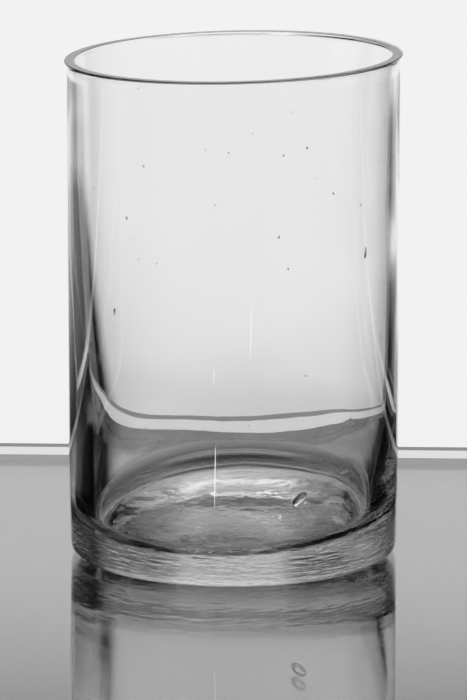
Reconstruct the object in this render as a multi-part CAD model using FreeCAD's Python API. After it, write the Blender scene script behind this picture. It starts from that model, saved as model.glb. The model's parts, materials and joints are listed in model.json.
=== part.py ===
"""Glass cylinder vase, 4 x 6 inch florist size, in millimetres.

The vase is blown as one piece of clear glass. It is modelled as the three regions that the glassworks
finishes separately, which meet face to face: the cut and polished rim, the cylindrical wall, and the
heavy base with its rounded heel and its slightly hollow underside.
The origin is the centre of the resting plane, and +Z is the vase's axis.
"""
import FreeCAD, Part
import math
import os

# Overall size: 6 inches tall, and 4 inches across the lip.
HEIGHT = 152.4
LIP_DIAMETER = 101.6
BODY_DIAMETER = 100.0
FOOT_DIAMETER = 99.0

# Wall: an even thickness down to TAPER_START, then a long tangent curve that thickens it towards the floor.
WALL_THICKNESS = 3.0
TAPER_START = 124.0
TAPER_RADIUS = 1400.0

# Rim: the wall flares over the last few millimetres and is cut flat, with its two edges eased.
RIM_HEIGHT = 7.0
FLARE_HEIGHT = 2.5
OUTER_ARRIS = 0.4
INNER_ARRIS = 0.5

# Base: floor thickness, the round corner inside, the heel outside, and the hollow underside.
FLOOR_THICKNESS = 12.5
FLOOR_CORNER_RADIUS = 7.0
FOOT_TAPER_TOP = 22.0
HEEL_RADIUS = 4.0
REST_RING_INNER_RADIUS = 40.0
PUNT_DEPTH = 1.2

# The planes where the regions meet.
BASE_TOP = 24.0
WALL_TOP = HEIGHT - RIM_HEIGHT

LIP_RADIUS = LIP_DIAMETER / 2
BODY_RADIUS = BODY_DIAMETER / 2
FOOT_RADIUS = FOOT_DIAMETER / 2
BORE_RADIUS = BODY_RADIUS - WALL_THICKNESS


def point(radius, height):
    return FreeCAD.Vector(radius, 0, height)


def line(start, end):
    return Part.LineSegment(point(*start), point(*end)).toShape()


def arc(start, middle, end):
    return Part.Arc(point(*start), point(*middle), point(*end)).toShape()


def on_arc(centre, radius, degrees):
    """The point of a circle at an angle from the +X direction, towards +Z."""
    angle = math.radians(degrees)
    return (centre[0] + radius * math.cos(angle), centre[1] + radius * math.sin(angle))


# Centres of the two inside curves. The taper leaves the straight bore on a tangent, and the floor corner
# touches both the taper and the flat floor.
TAPER_CENTRE = (BORE_RADIUS - TAPER_RADIUS, TAPER_START)
CORNER_CENTRE_Z = FLOOR_THICKNESS + FLOOR_CORNER_RADIUS
CENTRE_GAP = TAPER_RADIUS - FLOOR_CORNER_RADIUS
CORNER_CENTRE = (
    TAPER_CENTRE[0] + math.sqrt(CENTRE_GAP ** 2 - (TAPER_START - CORNER_CENTRE_Z) ** 2),
    CORNER_CENTRE_Z,
)
CORNER_TOP_DEGREES = math.degrees(math.asin((TAPER_START - CORNER_CENTRE_Z) / CENTRE_GAP))


def on_taper(height):
    """The point of the tapered inner surface at a height."""
    drop = TAPER_START - height
    return (TAPER_CENTRE[0] + math.sqrt(TAPER_RADIUS ** 2 - drop ** 2), height)


def turned(edges):
    """The solid that a closed outline of edges makes when it turns once about the axis."""
    face = Part.Face(Part.Wire(edges))
    return face.revolve(FreeCAD.Vector(0, 0, 0), FreeCAD.Vector(0, 0, 1), 360)


def make_rim():
    """The lip: a slight flare outside, a flat cut on top, and both edges eased."""
    foot_of_flare = (BODY_RADIUS, HEIGHT - FLARE_HEIGHT)
    flare_middle = (BODY_RADIUS + 0.3 * (LIP_RADIUS - BODY_RADIUS), HEIGHT - FLARE_HEIGHT / 2)
    flare_top = (LIP_RADIUS, HEIGHT - OUTER_ARRIS)
    cut_outside = (LIP_RADIUS - OUTER_ARRIS, HEIGHT)
    cut_inside = (BORE_RADIUS + INNER_ARRIS, HEIGHT)
    bore_top = (BORE_RADIUS, HEIGHT - INNER_ARRIS)
    bore_foot = (BORE_RADIUS, WALL_TOP)
    wall_outside = (BODY_RADIUS, WALL_TOP)
    return turned([
        line(bore_foot, wall_outside),
        line(wall_outside, foot_of_flare),
        arc(foot_of_flare, flare_middle, flare_top),
        line(flare_top, cut_outside),
        line(cut_outside, cut_inside),
        line(cut_inside, bore_top),
        line(bore_top, bore_foot),
    ])


def make_wall():
    """The tube: straight outside, and inside straight at the top and then thicker towards the base."""
    inner_foot = on_taper(BASE_TOP)
    outer_foot = (BODY_RADIUS, BASE_TOP)
    outer_top = (BODY_RADIUS, WALL_TOP)
    inner_top = (BORE_RADIUS, WALL_TOP)
    taper_top = (BORE_RADIUS, TAPER_START)
    taper_middle = on_taper((TAPER_START + BASE_TOP) / 2)
    return turned([
        line(inner_foot, outer_foot),
        line(outer_foot, outer_top),
        line(outer_top, inner_top),
        line(inner_top, taper_top),
        arc(taper_top, taper_middle, inner_foot),
    ])


def make_base():
    """The heavy base: a flat floor with a round corner, a rounded heel, and a hollow underside."""
    punt_sphere = (REST_RING_INNER_RADIUS ** 2 + PUNT_DEPTH ** 2) / (2 * PUNT_DEPTH)
    punt_half_angle = math.degrees(math.asin(REST_RING_INNER_RADIUS / punt_sphere))
    punt_centre = (0, PUNT_DEPTH - punt_sphere)
    punt_top = (0, PUNT_DEPTH)
    punt_middle = on_arc(punt_centre, punt_sphere, 90 - punt_half_angle / 2)
    ring_inside = (REST_RING_INNER_RADIUS, 0)
    ring_outside = (FOOT_RADIUS - HEEL_RADIUS, 0)
    heel_centre = (FOOT_RADIUS - HEEL_RADIUS, HEEL_RADIUS)
    heel_middle = on_arc(heel_centre, HEEL_RADIUS, -45)
    heel_top = (FOOT_RADIUS, HEEL_RADIUS)
    foot_top = (BODY_RADIUS, FOOT_TAPER_TOP)
    outer_top = (BODY_RADIUS, BASE_TOP)
    inner_top = on_taper(BASE_TOP)
    corner_top = on_arc(CORNER_CENTRE, FLOOR_CORNER_RADIUS, -CORNER_TOP_DEGREES)
    taper_middle = on_taper((BASE_TOP + corner_top[1]) / 2)
    corner_middle = on_arc(CORNER_CENTRE, FLOOR_CORNER_RADIUS, -45)
    floor_edge = on_arc(CORNER_CENTRE, FLOOR_CORNER_RADIUS, -90)
    floor_centre = (0, FLOOR_THICKNESS)
    return turned([
        line(floor_centre, punt_top),
        arc(punt_top, punt_middle, ring_inside),
        line(ring_inside, ring_outside),
        arc(ring_outside, heel_middle, heel_top),
        line(heel_top, foot_top),
        line(foot_top, outer_top),
        line(outer_top, inner_top),
        arc(inner_top, taper_middle, corner_top),
        arc(corner_top, corner_middle, floor_edge),
        line(floor_edge, floor_centre),
    ])


PARTS = {"rim": make_rim, "wall": make_wall, "base": make_base}

os.makedirs("parts", exist_ok=True)
for node, make in PARTS.items():
    solid = make()
    solid.exportStep(f"parts/{node}.step")
    print(node, solid.ShapeType, "valid" if solid.isValid() else "not valid", round(solid.Volume), "mm3")
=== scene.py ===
"""Looks of the glass cylinder vase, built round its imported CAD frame. Lengths are in metres.

One continuous skin of glass stands for the CAD model's rim, wall and base, and the air trapped in the
glass is modelled inside it: a blister, seeds and drawn-out air lines. The studio is a polished glass table
top among soft panels of light with dark gaps between them, which draw the glass's edges.
"""
import json
import math

import bmesh
import bpy
import numpy as np
from mathutils import Matrix, Vector


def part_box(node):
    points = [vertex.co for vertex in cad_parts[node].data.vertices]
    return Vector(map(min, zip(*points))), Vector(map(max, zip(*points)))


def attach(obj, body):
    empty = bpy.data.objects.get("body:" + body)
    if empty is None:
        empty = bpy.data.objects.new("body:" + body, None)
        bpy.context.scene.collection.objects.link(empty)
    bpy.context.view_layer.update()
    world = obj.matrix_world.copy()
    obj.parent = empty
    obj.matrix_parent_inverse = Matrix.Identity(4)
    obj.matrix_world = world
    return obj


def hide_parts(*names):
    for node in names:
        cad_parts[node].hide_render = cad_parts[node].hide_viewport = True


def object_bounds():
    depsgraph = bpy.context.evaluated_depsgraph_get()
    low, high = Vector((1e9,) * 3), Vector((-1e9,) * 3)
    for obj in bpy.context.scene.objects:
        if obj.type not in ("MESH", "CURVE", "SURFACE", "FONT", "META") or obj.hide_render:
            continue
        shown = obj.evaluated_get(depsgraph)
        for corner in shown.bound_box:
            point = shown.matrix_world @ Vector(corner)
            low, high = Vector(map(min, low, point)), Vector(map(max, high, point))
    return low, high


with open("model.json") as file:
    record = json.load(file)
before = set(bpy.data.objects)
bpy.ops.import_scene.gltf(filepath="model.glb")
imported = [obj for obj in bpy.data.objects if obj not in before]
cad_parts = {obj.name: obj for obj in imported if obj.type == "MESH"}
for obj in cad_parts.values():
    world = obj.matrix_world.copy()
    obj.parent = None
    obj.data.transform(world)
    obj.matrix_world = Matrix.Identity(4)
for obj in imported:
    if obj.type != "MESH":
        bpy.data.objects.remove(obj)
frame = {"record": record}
cad_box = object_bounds()

MM = 0.001
TURN = 2 * math.pi

# Sizes that the frame gives.
HEIGHT = cad_box[1].z
LIP_RADIUS = cad_box[1].x
BODY_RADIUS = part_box("wall")[1].x
MOUTH = next(m for m in frame["record"]["mounts"] if m["name"] == "mouth")
BORE_RADIUS = MOUTH["dims"]["r_mm"] * MM

# Outline sizes that are the same as in the CAD model.
FOOT_RADIUS = BODY_RADIUS - 0.5 * MM
FOOT_TAPER_TOP = 22 * MM
HEEL_RADIUS = 4 * MM
REST_RING_INNER_RADIUS = 40 * MM
PUNT_DEPTH = 1.2 * MM
FLOOR_THICKNESS = 12.5 * MM
TAPER_START = 124 * MM

# Outline sizes as the glass in the photo turned out, which differ a little from the designed ones. Inside,
# the wall thickens on an arc up to CONE_START, and on a straight cone above it.
TAPER_RADIUS = 1550 * MM
CONE_START = 97 * MM
CORNER_RADIUS = 6 * MM
FLARE_HEIGHT = 1.6 * MM
OUTER_ARRIS = 0.3 * MM
INNER_ARRIS = 0.3 * MM

# How far the glass is from true: the lean of the floor sideways and from front to back, as slopes, the dome
# of the floor, the sideways shift of the lower bore, and the tilt of the cut lip.
FLOOR_LEAN = (0.035, 0.108)
FLOOR_DOME = 1.2 * MM
FLOOR_DOME_RADIUS = BORE_RADIUS - 10 * MM
BORE_SHIFT = 1.0 * MM
LIP_TILT = math.radians(1.28)
LIP_TILT_DEPTH = 14 * MM

# Mesh: steps round the axis, the four runs of the outline, and how near the axis a ring becomes one point.
SEGMENTS = 270
SOLE, OUTSIDE, LIP, INSIDE = range(4)
ON_AXIS = 0.1 * MM

# Trapped air. The large bubbles and lines are rows of direction in degrees, height, half length and half
# width in mm.
BLISTER_ANGLE = math.radians(-66)
BLISTER_HEIGHT = 26 * MM
BLISTER_DEPTH = 0.45
BLISTER_HALF_SIZE = (0.9 * MM, 3.0 * MM, 1.5 * MM)
BLISTER_LEAN = 0.8
AIR_LINES = ((-96.5, 34.0, 9.2, 0.11), (-84.0, 77.5, 8.0, 0.08), (-96.8, 64.5, 2.2, 0.08))
LARGE_SEEDS = ((-37.5, 98.0, 1.7, 0.5), (-136.0, 81.0, 1.1, 0.4))
SMALL_SEED_COUNT = 60
FINE_BALL = 4
COARSE_BALL = 2

# Glass.
GLASS_IOR = 1.5
GLASS_DENSITY = 30.0
WORN_ROUGHNESS = 0.15
RIPPLE_BUMP = 0.02
STREAK_BUMP = 0.8
BUMP_DEPTH = 0.5 * MM

# Table: a thick sheet of glass on a reflecting board, then at the far edge a trim that glows as a painted
# band of light, and a dark strip that paints a shadow line.
SHEET_THICKNESS = 9.2 * MM
SHEET_FRONT = -0.9
SHEET_BACK = 126 * MM
SHEET_SIDE = 1.0
TRIM_DEPTH = 12 * MM
TRIM_THICKNESS = 10 * MM
LINE_DEPTH = 5 * MM
SEAM_THICKNESS = 25 * MM
TABLE_TURN = math.radians(-2.4)
BOARD_SHADE = 0.36
BOARD_ROUGHNESS = 0.03
TRIM_SHADE = 0.3
# The trim's glow is painted light: it shines though it is no lamp.
TRIM_PAINTED_GLOW = 0.5
# The shadow line is painted shade: a dark strip where the shadow gap at the far edge falls.
SHADOW_LINE_PAINTED_SHADE = 0.45

# Light panels, in degrees: the direction of the middle (0 is behind the vase, 90 at its right and 180 at the
# camera), half the width, the bottom and the top as elevations, the strength, and the softness of the sides.
PANELS = (
    (1, 16, -14, 16, 1.0, 4),
    (1, 14, 15, 26, 0.8, 4),
    (1, 16, 24, 40, 0.9, 4),
    (2.5, 16.5, -24, -8, 1.0, 3),
    (24, 14, -11.6, 5, 0.95, 6),
    (-22, 14, -11.8, 5, 0.95, 6),
    (28, 15, 3, 12.5, 0.8, 5),
    (-28, 15, 3, 12.5, 0.8, 5),
    (-47, 13, -12.3, 12.5, 0.8, 4),
    (-47, 13, -50, -19.5, 1.0, 4),
    (-50, 14, 21, 40, 0.8, 6),
    (-90, 16, -9, 12, 1.0, 6),
    (135, 30, -35, 30, 0.55, 25),
    (180, 100, -35, 30, 0.35, 30),
    (180, 70, 46, 68, 4.5, 15),
)
BOTTOM_SOFTNESS = 1.5
TOP_SOFTNESS = 2
# How the panels dim low down and high up, and the light overhead: elevations and strengths of both ends.
LOW_TONE = (-18, -12, 0.62, 0.85)
HIGH_TONE = (12, 34, 1.02, 0.55)
OVERHEAD = (38, 70, 0.0, 0.5)
AMBIENT = 0.015

# Camera.
VIEW_ELEVATION = math.radians(11.9)
CAMERA_DISTANCE = 11.14 * HEIGHT
AIM_HEIGHT = 0.4085 * HEIGHT
LENS_MM = 288.2

# Contrast of the black and white print: scene tones and the tones that they become.
PRINT_TONE = ((0.03, 0.012), (0.10, 0.085), (0.25, 0.25), (0.45, 0.447), (0.76, 0.795), (0.88, 0.885))


# ---------------------------------------------------------------- outline

def fade(value, start, end):
    """0 at start, 1 at end, and smooth between."""
    t = np.clip((value - start) / (end - start), 0, 1)
    return t * t * (3 - 2 * t)


def arc(centre, radius, start, end, count):
    """Points of a circle's arc, from one angle to another in degrees."""
    angles = np.radians(np.linspace(start, end, count))
    return [(centre[0] + radius * math.cos(a), centre[1] + radius * math.sin(a)) for a in angles]


def run(start, end, count):
    """Evenly spaced points from start to end."""
    return [tuple(p) for p in np.linspace(start, end, count)]


def taper_radius(height):
    """Radius of the inside at a height: a straight cone at the top, and a tangent arc below it."""
    drop = TAPER_START - min(height, CONE_START)
    reach = math.sqrt(TAPER_RADIUS ** 2 - drop ** 2)
    return BORE_RADIUS - TAPER_RADIUS + reach + max(height - CONE_START, 0) * drop / reach


def underside_outline():
    """From the middle of the hollow underside out to the heel."""
    sphere = (REST_RING_INNER_RADIUS ** 2 + PUNT_DEPTH ** 2) / (2 * PUNT_DEPTH)
    half = math.degrees(math.asin(REST_RING_INNER_RADIUS / sphere))
    punt = arc((0, PUNT_DEPTH - sphere), sphere, 90, 90 - half, 26)
    ring = run((REST_RING_INNER_RADIUS, 0), (FOOT_RADIUS - HEEL_RADIUS, 0), 6)
    return punt[:-1] + ring[:-1]


def outside_outline():
    """Up the outside, from the heel to the flare, with the most points where the foot has ridges."""
    heel = arc((FOOT_RADIUS - HEEL_RADIUS, HEEL_RADIUS), HEEL_RADIUS, -90, 0, 22)
    foot = run((FOOT_RADIUS, HEEL_RADIUS), (BODY_RADIUS, FOOT_TAPER_TOP), 80)
    low = run((BODY_RADIUS, FOOT_TAPER_TOP), (BODY_RADIUS, 2 * FOOT_TAPER_TOP), 30)
    tube = run((BODY_RADIUS, 2 * FOOT_TAPER_TOP), (BODY_RADIUS, HEIGHT - FLARE_HEIGHT), 30)
    return heel[:-1] + foot[:-1] + low[:-1] + tube[:-1]


def lip_outline():
    """Over the lip: the flare, the outer arris, the cut flat and the inner arris."""
    flare = []
    for share in np.linspace(0, 1, 7):
        bow = share ** 1.6
        radius = BODY_RADIUS + (LIP_RADIUS - BODY_RADIUS) * bow
        flare.append((radius, HEIGHT - FLARE_HEIGHT + (FLARE_HEIGHT - OUTER_ARRIS) * share))
    outer = arc((LIP_RADIUS - OUTER_ARRIS, HEIGHT - OUTER_ARRIS), OUTER_ARRIS, 0, 90, 4)
    mouth = taper_radius(HEIGHT)
    flat = run((LIP_RADIUS - 1.1 * OUTER_ARRIS, HEIGHT), (mouth + 1.1 * INNER_ARRIS, HEIGHT), 6)
    inner = arc((mouth + INNER_ARRIS, HEIGHT - INNER_ARRIS), INNER_ARRIS, 90, 180, 4)
    return flare[:-1] + outer + flat + inner


def inside_outline():
    """Down the inside, round the corner and along the floor to its middle."""
    corner_z = FLOOR_THICKNESS + CORNER_RADIUS
    corner_r = taper_radius(corner_z) - CORNER_RADIUS
    corner = arc((corner_r, corner_z), CORNER_RADIUS, -4, -90, 16)
    taper = [(taper_radius(z), z) for z in np.linspace(HEIGHT - 1.2 * INNER_ARRIS, corner[0][1], 74)]
    floor = run(corner[-1], (0, FLOOR_THICKNESS), 40)
    return taper[:-1] + corner[:-1] + floor


# ---------------------------------------------------------------- hand-made unevenness

def waves(angle, height, turns, pitch, seed, count=14):
    """Smooth waves of about unit size: no more than `turns` of them round the axis, about `pitch` tall."""
    draw = np.random.default_rng(seed)
    total = np.zeros(np.broadcast(angle, height).shape)
    for _ in range(count):
        around = int(draw.integers(-turns, turns + 1))
        rise = draw.normal() / pitch
        total += np.sin(around * angle + TURN * rise * height + draw.uniform(0, TURN))
    return total / math.sqrt(count / 2)


def ripples(x, y, pitch, seed, count=24):
    """Smooth waves of about unit size over a level surface, about `pitch` long."""
    draw = np.random.default_rng(seed)
    total = np.zeros(x.shape)
    for _ in range(count):
        heading = draw.uniform(0, TURN)
        rate = TURN / (pitch * draw.uniform(0.7, 1.6))
        total += np.sin(rate * (x * math.cos(heading) + y * math.sin(heading)) + draw.uniform(0, TURN))
    return total / math.sqrt(count / 2)


def inside_bulge(angle, z):
    """Low waves of the bore, which grow towards the base."""
    low = 1 - fade(z, 0.35 * HEIGHT, 0.9 * HEIGHT)
    long_waves = (0.06 + 0.10 * low) * MM * waves(angle, z, turns=3, pitch=90 * MM, seed=11)
    return long_waves + 0.008 * MM * low * waves(angle, z, turns=9, pitch=25 * MM, seed=12)


def outside_bulge(angle, z):
    """Chill marks near the foot, turning lines and two ridges round it, and low waves higher up."""
    near_foot = 1 - fade(z, 12 * MM, 48 * MM)
    one_side = (0.5 + 0.5 * np.cos(angle + 0.3)) ** 3
    marks = waves(angle, z, turns=5, pitch=2.6 * MM, seed=13)
    marks = marks + 0.6 * waves(angle, z, turns=12, pitch=5 * MM, seed=14)
    chill = 0.012 * MM * near_foot * one_side * marks

    sway = 1.5 * waves(angle, z, turns=3, pitch=9 * MM, seed=20)
    turning = np.sin(TURN * z / (1.9 * MM) + sway) + waves(angle, z, turns=40, pitch=1.6 * MM, seed=21)
    turning = 0.035 * MM * turning * (1 - fade(z, 7 * MM, 13 * MM))

    wander = 0.35 * MM * waves(angle, z, turns=3, pitch=400 * MM, seed=22)
    ridge_width = 0.28 * MM
    ridges = 0.0
    for ridge, proud in ((4.9 * MM, 0.10 * MM), (2.2 * MM, 0.14 * MM)):
        ridges = ridges + proud * np.exp(-((z - ridge - wander) / ridge_width) ** 2)

    calm_lip = fade(HEIGHT - z, 0, 20 * MM)
    return chill + turning + ridges + 0.02 * MM * waves(angle, z, turns=4, pitch=60 * MM, seed=15) * calm_lip


def floor_bulge(x, y):
    """Broad and fine ripples of the floor."""
    broad = 0.035 * MM * ripples(x, y, pitch=16 * MM, seed=16)
    return broad + 0.004 * MM * ripples(x, y, pitch=5 * MM, seed=17)


def sole_bulge(x, y):
    """Ripples of the hollow underside, rougher away from its middle."""
    rough = 0.15 + 0.85 * fade(np.hypot(x, y), 12 * MM, 36 * MM)
    broad = 0.11 * ripples(x, y, pitch=12 * MM, seed=33)
    return rough * MM * (broad + 0.045 * ripples(x, y, pitch=4.5 * MM, seed=34))


# ---------------------------------------------------------------- the skin of glass

def skin_points():
    """Places of the skin, as arrays of x, y and z with a row for each point of the outline."""
    parts = [underside_outline(), outside_outline(), lip_outline(), inside_outline()]
    zone = np.concatenate([np.full(len(part), number) for number, part in enumerate(parts)])[:, None]
    outline = np.array([p for part in parts for p in part])
    step = np.gradient(outline, axis=0)
    normal = np.stack([step[:, 1], -step[:, 0]], 1)
    normal /= np.linalg.norm(normal, axis=1)[:, None]
    level = np.abs(normal[:, 1:]) ** 2
    upright = 1 - level

    # The skin stands out from the true outline, along the outline's normal.
    angle = np.linspace(0, TURN, SEGMENTS, endpoint=False)[None, :]
    radius, height = outline[:, :1], outline[:, 1:]
    x, y = radius * np.cos(angle), radius * np.sin(angle)
    flat_floor = (zone == INSIDE) * level
    flat_sole = (zone == SOLE) * (1 - fade(radius, 0.9 * REST_RING_INNER_RADIUS, REST_RING_INNER_RADIUS))
    out = (zone == INSIDE) * upright * inside_bulge(angle, height)
    out = out + (zone == OUTSIDE) * upright * outside_bulge(angle, height)
    out = out + flat_floor * floor_bulge(x, y) + flat_sole * sole_bulge(x, y)
    r = radius + normal[:, :1] * out
    z = height + normal[:, 1:] * out
    x, y = r * np.cos(angle), r * np.sin(angle)

    # The floor leans and is domed, the lower bore is off centre, and the lip is cut out of level.
    low_inside = (zone == INSIDE) * (1 - fade(height, 20 * MM, 44 * MM))
    z = z + (FLOOR_LEAN[0] * x + FLOOR_LEAN[1] * y) * low_inside
    z = z + FLOOR_DOME * (1 - np.minimum(radius / FLOOR_DOME_RADIUS, 1) ** 4) * flat_floor
    shift = BORE_SHIFT * fade(height, 12 * MM, 45 * MM) * (1 - fade(height, 30 * MM, TAPER_START))
    x = x + shift * (zone == INSIDE)
    z = z + x * math.tan(LIP_TILT) * fade(height, HEIGHT - LIP_TILT_DEPTH, HEIGHT)
    return x, y, z


def build_vase():
    mesh = bmesh.new()
    rings = []
    for xs, ys, zs in zip(*skin_points()):
        if np.hypot(xs, ys).max() < ON_AXIS:
            rings.append([mesh.verts.new((0, 0, float(zs.mean())))])
        else:
            rings.append([mesh.verts.new(place) for place in zip(xs.tolist(), ys.tolist(), zs.tolist())])
    for below, above in zip(rings, rings[1:]):
        for k in range(SEGMENTS):
            after = (k + 1) % SEGMENTS
            if len(below) == 1:
                mesh.faces.new((below[0], above[after], above[k]))
            elif len(above) == 1:
                mesh.faces.new((below[k], below[after], above[0]))
            else:
                mesh.faces.new((below[k], below[after], above[after], above[k]))
    return finish_mesh(mesh, "vase")


def finish_mesh(mesh, name, inverted=False, smooth=True):
    """An object from a mesh. An inverted one faces inwards, as the surface of a bubble in glass does."""
    bmesh.ops.recalc_face_normals(mesh, faces=mesh.faces)
    if inverted:
        bmesh.ops.reverse_faces(mesh, faces=mesh.faces)
    for face in mesh.faces:
        face.smooth = smooth
    data = bpy.data.meshes.new(name)
    mesh.to_mesh(data)
    mesh.free()
    made = bpy.data.objects.new(name, data)
    bpy.context.scene.collection.objects.link(made)
    return made


# ---------------------------------------------------------------- trapped air

def add_bubble(mesh, place, size, axes, detail):
    """A bubble as a ball stretched along its own three axes: size is its half lengths."""
    made = bmesh.ops.create_icosphere(mesh, subdivisions=detail, radius=1.0)
    turn = Matrix(axes).transposed()
    for vert in made["verts"]:
        local = Vector(a * s for a, s in zip(vert.co, size))
        vert.co = place + turn @ local


def wall_axes(angle, lean):
    """Directions for a bubble in the wall: across the wall, along its long side, and square to both."""
    across = Vector((math.cos(angle), math.sin(angle), 0))
    around = Vector((-math.sin(angle), math.cos(angle), 0))
    up = Vector((0, 0, 1))
    long_side = math.cos(lean) * up + math.sin(lean) * around
    return across, long_side, across.cross(long_side)


def in_wall(angle, height, depth):
    """A point inside the wall: depth is 0 at the inner surface and 1 at the outer one."""
    inner = taper_radius(height)
    radius = inner + depth * (BODY_RADIUS - inner)
    return Vector((radius * math.cos(angle), radius * math.sin(angle), height))


def build_blister():
    mesh = bmesh.new()
    place = in_wall(BLISTER_ANGLE, BLISTER_HEIGHT, BLISTER_DEPTH)
    add_bubble(mesh, place, BLISTER_HALF_SIZE, wall_axes(BLISTER_ANGLE, BLISTER_LEAN), FINE_BALL)
    return finish_mesh(mesh, "blister", inverted=True)


def build_air_lines():
    mesh = bmesh.new()
    for degrees, height, half_length, half_width in AIR_LINES:
        angle = math.radians(degrees)
        size = (half_width * MM, half_length * MM, half_width * MM)
        add_bubble(mesh, in_wall(angle, height * MM, 0.6), size, wall_axes(angle, 0.02), FINE_BALL)
    return finish_mesh(mesh, "air_lines")


def build_seeds():
    """Small seeds strewn through the wall, and two large ones."""
    draw = np.random.default_rng(41)
    mesh = bmesh.new()
    for _ in range(SMALL_SEED_COUNT):
        angle = draw.uniform(0, TURN)
        height = (32 + 112 * draw.random()) * MM
        half = (0.13 + 0.2 * draw.random() ** 2) * MM
        size = (0.8 * half, half * draw.uniform(1.0, 1.8), half)
        place = in_wall(angle, height, draw.uniform(0.25, 0.75))
        add_bubble(mesh, place, size, wall_axes(angle, draw.normal() * 0.3), COARSE_BALL)
    for degrees, height, half_length, half_width in LARGE_SEEDS:
        angle = math.radians(degrees)
        size = (0.7 * half_width * MM, half_length * MM, half_width * MM)
        add_bubble(mesh, in_wall(angle, height * MM, 0.5), size, wall_axes(angle, 0.1), FINE_BALL)
    return finish_mesh(mesh, "seeds", inverted=True)


# ---------------------------------------------------------------- materials

def new_material(name):
    """A material with its shader, its nodes and its links."""
    made = bpy.data.materials.new(name)
    made.use_nodes = True
    nodes = made.node_tree.nodes
    return made, nodes["Principled BSDF"], nodes, made.node_tree.links


def map_range(nodes, links, value, start, end, low, high, interpolation="LINEAR"):
    """The socket of a Map Range node: low where the value is at start, and high where it is at end."""
    node = nodes.new("ShaderNodeMapRange")
    node.interpolation_type = interpolation
    links.new(value, node.inputs["Value"])
    for name, number in zip(("From Min", "From Max", "To Min", "To Max"), (start, end, low, high)):
        node.inputs[name].default_value = number
    return node.outputs["Result"]


def noise(nodes, links, place, scale):
    """Cloudy noise that reads a place."""
    node = nodes.new("ShaderNodeTexNoise")
    node.inputs["Scale"].default_value = scale
    node.inputs["Detail"].default_value = 3.0
    links.new(place, node.inputs["Vector"])
    return node.outputs["Fac"]


def glass_material(name, dense=True):
    """Clear glass, faintly rippled, worn matt where it rests, and streaked near the foot."""
    made, shader, nodes, links = new_material(name)
    shader.inputs["Transmission Weight"].default_value = 1.0
    shader.inputs["IOR"].default_value = GLASS_IOR
    place = nodes.new("ShaderNodeTexCoord").outputs["Object"]
    split = nodes.new("ShaderNodeSeparateXYZ")
    links.new(place, split.inputs[0])
    height = split.outputs["Z"]

    worn = map_range(nodes, links, height, 1.6 * MM, 0.2 * MM, 0.0, WORN_ROUGHNESS)
    links.new(worn, shader.inputs["Roughness"])
    cloud = noise(nodes, links, place, 90.0)
    links.new(map_range(nodes, links, cloud, 0.0, 1.0, 0.99, 1.0), shader.inputs["Base Color"])
    ripple = nodes.new("ShaderNodeBump")
    ripple.inputs["Strength"].default_value = RIPPLE_BUMP
    ripple.inputs["Distance"].default_value = BUMP_DEPTH
    links.new(cloud, ripple.inputs["Height"])

    flatten = nodes.new("ShaderNodeVectorMath")
    flatten.operation = "MULTIPLY"
    flatten.inputs[1].default_value = (1, 1, 6)
    links.new(place, flatten.inputs[0])
    near_foot = map_range(nodes, links, height, 16 * MM, 5 * MM, 0.0, STREAK_BUMP)
    streak = nodes.new("ShaderNodeBump")
    streak.inputs["Distance"].default_value = BUMP_DEPTH
    links.new(near_foot, streak.inputs["Strength"])
    links.new(noise(nodes, links, flatten.outputs[0], 220.0), streak.inputs["Height"])
    links.new(ripple.outputs["Normal"], streak.inputs["Normal"])
    links.new(streak.outputs["Normal"], shader.inputs["Normal"])
    if dense:
        inside = nodes.new("ShaderNodeVolumeAbsorption")
        inside.inputs["Color"].default_value = (0.9, 0.9, 0.9, 1)
        inside.inputs["Density"].default_value = GLASS_DENSITY
        links.new(inside.outputs["Volume"], nodes["Material Output"].inputs["Volume"])
    return made


def glowing_air_material(name):
    """Drawn-out air lines, white and made to glow by emission though no lamp lights them: a painted
    highlight.
    """
    made, shader, nodes, links = new_material(name)
    shader.inputs["Base Color"].default_value = (1, 1, 1, 1)
    shader.inputs["Roughness"].default_value = 0.5
    # Painted highlight: the emission makes the lines shine white of themselves.
    shader.inputs["Emission Color"].default_value = (1, 1, 1, 1)
    cloud = nodes.new("ShaderNodeTexNoise")
    cloud.inputs["Scale"].default_value = 400.0
    glow = map_range(nodes, links, cloud.outputs["Fac"], 0.0, 1.0, 0.7, 1.1)
    links.new(glow, shader.inputs["Emission Strength"])
    return made


def plain_material(name, shade, roughness, metallic=0.0, glow=0.0):
    made, shader, _, _ = new_material(name)
    shader.inputs["Base Color"].default_value = (shade, shade, shade, 1)
    shader.inputs["Roughness"].default_value = roughness
    shader.inputs["Metallic"].default_value = metallic
    shader.inputs["Emission Color"].default_value = (1, 1, 1, 1)
    shader.inputs["Emission Strength"].default_value = glow
    return made


def sheet_material(name):
    made, shader, _, _ = new_material(name)
    shader.inputs["Transmission Weight"].default_value = 1.0
    shader.inputs["IOR"].default_value = GLASS_IOR
    shader.inputs["Roughness"].default_value = 0.0
    return made


def paint(piece, material):
    piece.data.materials.append(material)


# ---------------------------------------------------------------- studio

def build_slab(name, front, back, bottom, top, material):
    """A flat slab right across the table."""
    low, high = (-SHEET_SIDE, front, bottom), (SHEET_SIDE, back, top)
    mesh = bmesh.new()
    made = bmesh.ops.create_cube(mesh, size=1.0)
    for vert in made["verts"]:
        vert.co = Vector(l + (c + 0.5) * (h - l) for c, l, h in zip(vert.co, low, high))
    slab = finish_mesh(mesh, name, smooth=False)
    slab.data.transform(Matrix.Rotation(TABLE_TURN, 4, "Z"))
    paint(slab, material)
    return slab


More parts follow.
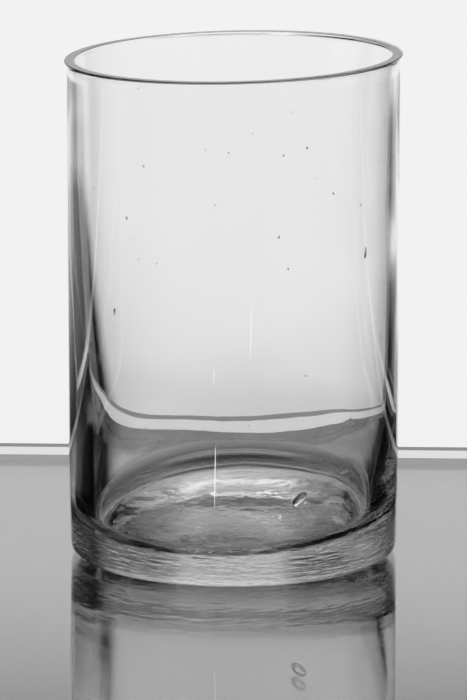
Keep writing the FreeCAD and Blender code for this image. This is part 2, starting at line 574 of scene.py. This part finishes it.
def build_table():
    """A thick sheet of polished glass on a reflecting board, with a dark seam at its far edge, a trim there
    that glows as a painted band of light, and a dark strip painted as a shadow line beyond it. Each slab is a
    hair below the plane that the vase rests on."""
    trim_back = SHEET_BACK + TRIM_DEPTH
    board = plain_material("table_board", BOARD_SHADE, BOARD_ROUGHNESS, metallic=1.0)
    seam = plain_material("table_seam", BOARD_SHADE, 0.6)
    # The trim glows without being a lamp: painted light for the bright band at the table's far edge.
    trim = plain_material("table_trim_painted_glow", TRIM_SHADE, 0.5, glow=TRIM_PAINTED_GLOW)
    # A dark strip beyond the trim: painted shade that stands for the shadow line at the table's edge.
    line = plain_material("table_painted_shadow_line", SHADOW_LINE_PAINTED_SHADE, 0.5)
    slabs = (
        ("table_glass", SHEET_FRONT, SHEET_BACK, -SHEET_THICKNESS, -0.02 * MM, sheet_material("table_glass")),
        ("table_board", SHEET_FRONT, SHEET_BACK, -2.5 * SHEET_THICKNESS, -SHEET_THICKNESS - 0.2 * MM, board),
        ("table_seam", SHEET_BACK + 0.05 * MM, SHEET_BACK + 0.5 * MM, -SEAM_THICKNESS, -0.05 * MM, seam),
        ("table_trim_painted_glow", SHEET_BACK + 0.6 * MM, trim_back, -TRIM_THICKNESS, -0.03 * MM, trim),
        ("table_painted_shadow_line", trim_back, trim_back + LINE_DEPTH, -TRIM_THICKNESS, -0.05 * MM, line),
    )
    return [build_slab(*slab) for slab in slabs]


def build_world():
    """Light by direction: the brightest panel there, the light overhead, and a little from everywhere."""
    world = bpy.data.worlds.new("studio")
    bpy.context.scene.world = world
    world.use_nodes = True
    nodes, links = world.node_tree.nodes, world.node_tree.links
    light = nodes["Background"]

    def maths(operation, a, b=None):
        node = nodes.new("ShaderNodeMath")
        node.operation = operation
        for socket, value in zip(node.inputs, (a, b)):
            if isinstance(value, (int, float)):
                socket.default_value = value
            elif value is not None:
                links.new(value, socket)
        return node.outputs[0]

    def ramp(value, start, end, low=0.0, high=1.0):
        """From low to high between two angles in degrees, with an eased start and end."""
        ends = (math.radians(start), math.radians(end), low, high)
        return map_range(nodes, links, value, *ends, interpolation="SMOOTHSTEP")

    direction = nodes.new("ShaderNodeTexCoord")
    split = nodes.new("ShaderNodeSeparateXYZ")
    links.new(direction.outputs["Generated"], split.inputs[0])
    azimuth = maths("ARCTAN2", split.outputs[0], split.outputs[1])
    elevation = maths("ARCSINE", split.outputs[2])

    def panel(toward, half_width, bottom, top, strength, softness):
        apart = maths("SUBTRACT", azimuth, math.radians(toward))
        away = maths("ARCCOSINE", maths("COSINE", apart))
        across = ramp(away, half_width + softness, half_width - softness)
        above = ramp(elevation, bottom - BOTTOM_SOFTNESS, bottom + BOTTOM_SOFTNESS)
        below = ramp(elevation, top + TOP_SOFTNESS, top - TOP_SOFTNESS)
        return maths("MULTIPLY", maths("MULTIPLY", across, above), maths("MULTIPLY", below, strength))

    brightest = 0.0
    for row in PANELS:
        brightest = maths("MAXIMUM", panel(*row), brightest)
    tone = maths("MULTIPLY", ramp(elevation, *LOW_TONE), ramp(elevation, *HIGH_TONE))
    lit = maths("ADD", maths("MULTIPLY", brightest, tone), ramp(elevation, *OVERHEAD))
    links.new(maths("ADD", lit, AMBIENT), light.inputs["Strength"])
    light.inputs["Color"].default_value = (1, 1, 1, 1)


def build_camera():
    """A long lens far off, looking slightly down at the vase from the front."""
    data = bpy.data.cameras.new("camera")
    camera = bpy.data.objects.new("camera", data)
    bpy.context.scene.collection.objects.link(camera)
    back = Vector((0, -math.cos(VIEW_ELEVATION), math.sin(VIEW_ELEVATION)))
    camera.location = Vector((0, 0, AIM_HEIGHT)) + CAMERA_DISTANCE * back
    camera.rotation_mode = "QUATERNION"
    camera.rotation_quaternion = (-back).to_track_quat("-Z", "Y")
    data.lens = LENS_MM
    data.clip_end = 100 * CAMERA_DISTANCE
    bpy.context.scene.camera = camera


def set_print_tone(view):
    """Darks are pressed down and light greys lifted a little, as in a contrasty print."""
    view.use_curve_mapping = True
    curve = view.curve_mapping.curves[3]
    for scene_value, print_value in PRINT_TONE:
        curve.points.new(scene_value, print_value)
    view.curve_mapping.update()


# ---------------------------------------------------------------- the scene

build_camera()
build_world()
build_table()

vase = build_vase()
paint(vase, glass_material("clear_glass"))
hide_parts("rim", "wall", "base")
air = glass_material("trapped_air", dense=False)
pieces = {build_blister(): air, build_seeds(): air, build_air_lines(): glowing_air_material("drawn_air_painted_glow")}
for piece, material in pieces.items():
    paint(piece, material)
    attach(piece, "root")
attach(vase, "root")

scene = bpy.context.scene
scene.view_settings.view_transform = "Standard"
set_print_tone(scene.view_settings)
scene.cycles.max_bounces = 24
scene.cycles.transmission_bounces = 24
scene.cycles.glossy_bounces = 12
